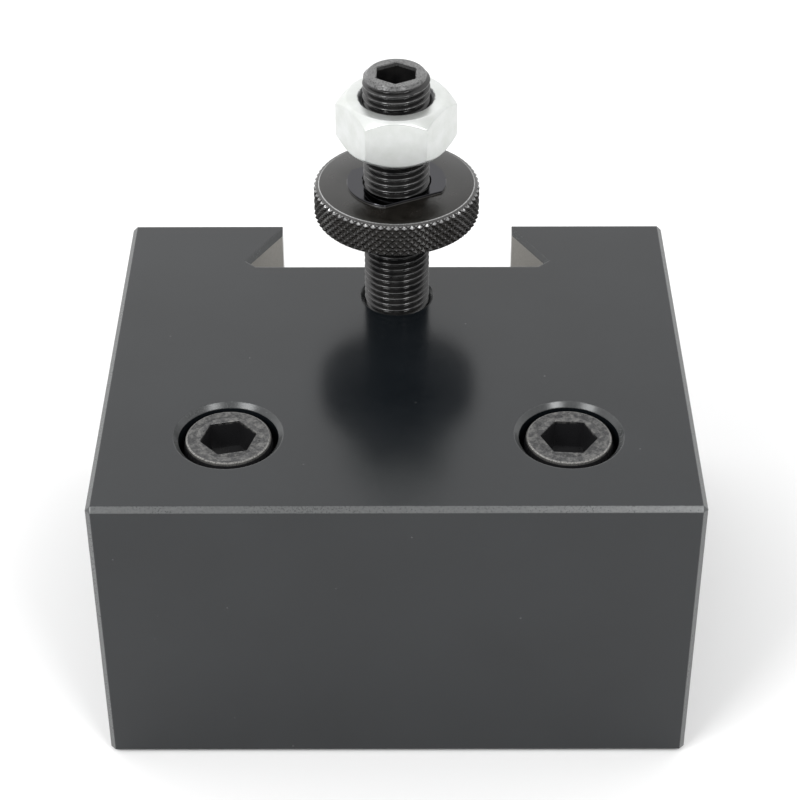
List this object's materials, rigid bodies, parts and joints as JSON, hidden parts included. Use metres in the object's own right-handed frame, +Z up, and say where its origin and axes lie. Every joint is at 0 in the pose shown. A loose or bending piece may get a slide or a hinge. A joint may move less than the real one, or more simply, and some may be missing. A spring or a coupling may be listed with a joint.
{
  "type": "boring bar holder for a quick change tool post",
  "caption": "Steel boring bar holder for a quick change lathe tool post, with a dovetail slot, drawn clamp plugs, cap screws and a stud with a knurled height nut and lock nut.",
  "frame": {"origin": "centre of the block's underside", "axes": "+Z up along the height stud, +X to the right along the bar bore, +Y towards the dovetail slot"},
  "size_m": [0.1206, 0.1016, 0.1215],
  "materials": {
    "block_steel": "black oxide over a fine ground surface, satin",
    "stud_steel": "black oxide, oiled, rubbed bright on the thread crests",
    "thumb_nut_steel": "black oxide, oiled, with a diamond knurl",
    "lock_nut_zinc": "bright zinc plating",
    "screw_steel": "black oxide, worn grey on the head",
    "plug_steel": "black oxide, ground bright in the scallop"
  },
  "bodies": {
    "holder": {"holder_body": "block_steel", "height_stud": "stud_steel"},
    "thumb_nut": {"thumb_nut": "thumb_nut_steel"},
    "lock_nut": {"lock_nut": "lock_nut_zinc"},
    "clamp_screw_left": {"clamp_screw_left": "screw_steel"},
    "clamp_plug_left": {"clamp_plug_left": "plug_steel"},
    "clamp_screw_right": {"clamp_screw_right": "screw_steel"},
    "clamp_plug_right": {"clamp_plug_right": "plug_steel"}
  },
  "joints": [
    {"name": "thumb_nut_travel", "type": "slide", "parent": "holder", "child": "thumb_nut", "axis": [0, 0, 1], "range_m": [-0.0205, 0.005]},
    {"name": "lock_nut_travel", "type": "slide", "parent": "thumb_nut", "child": "lock_nut", "axis": [0, 0, 1], "range_m": [-0.0088, 0.005]},
    {"name": "clamp_plug_left_draw", "type": "slide", "parent": "holder", "child": "clamp_plug_left", "axis": [0, 0, 1], "range_m": [-0.00174, 0.00097]},
    {"name": "clamp_screw_left_turn", "type": "hinge", "parent": "holder", "child": "clamp_screw_left", "pos_m": [-0.0339, -0.0273, 0.06605], "axis": [0, 0, 1], "range_deg": [-200, 360]},
    {"name": "clamp_plug_right_draw", "type": "slide", "parent": "holder", "child": "clamp_plug_right", "axis": [0, 0, 1], "range_m": [-0.00174, 0.00097]},
    {"name": "clamp_screw_right_turn", "type": "hinge", "parent": "holder", "child": "clamp_screw_right", "pos_m": [0.0347, -0.0273, 0.06605], "axis": [0, 0, 1], "range_deg": [-200, 360]}
  ],
  "couplings": [
    {"joint": "clamp_screw_left_turn", "follows": "clamp_plug_left_draw", "rad_per_m": -3590.4},
    {"joint": "clamp_screw_right_turn", "follows": "clamp_plug_right_draw", "rad_per_m": -3590.4}
  ]
}
